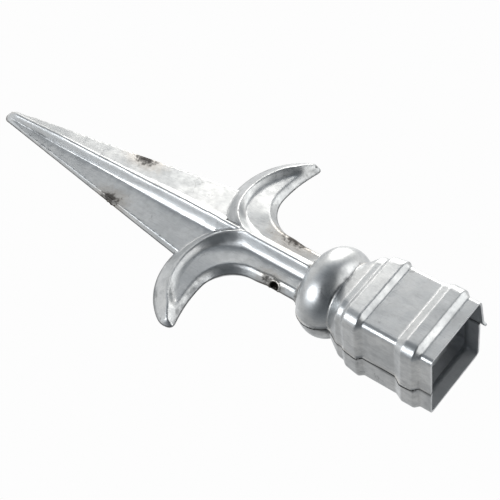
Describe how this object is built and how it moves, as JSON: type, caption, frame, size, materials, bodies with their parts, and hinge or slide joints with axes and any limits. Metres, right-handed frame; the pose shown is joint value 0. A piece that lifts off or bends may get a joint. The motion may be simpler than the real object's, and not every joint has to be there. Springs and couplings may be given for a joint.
{
  "type": "post anchor spike",
  "caption": "Hollow pressed-steel spear point with a ridged blade, two curled wings, a ball collar and a beaded square socket that caps a square post.",
  "frame": {"origin": "centre of the square socket, level with the lowest point of the front pressing's torn corner; the socket's mouth is 2.3 mm above it", "axes": "+Z from the open socket to the spear's tip, X across the wings, -Y out of the front face"},
  "size_m": [0.081, 0.0304, 0.1924],
  "materials": {
    "pressed_steel": "bare cold-rolled sheet, lightly rubbed on the pressed edges",
    "weld": "small dull weld beads with soot and straw heat tint"
  },
  "bodies": {
    "root": {"front_shell": "pressed_steel", "rear_shell": "pressed_steel", "blade_tack_left": "weld", "blade_tack_right": "weld", "neck_tack_left": "weld", "neck_tack_right": "weld"}
  },
  "joints": []
}
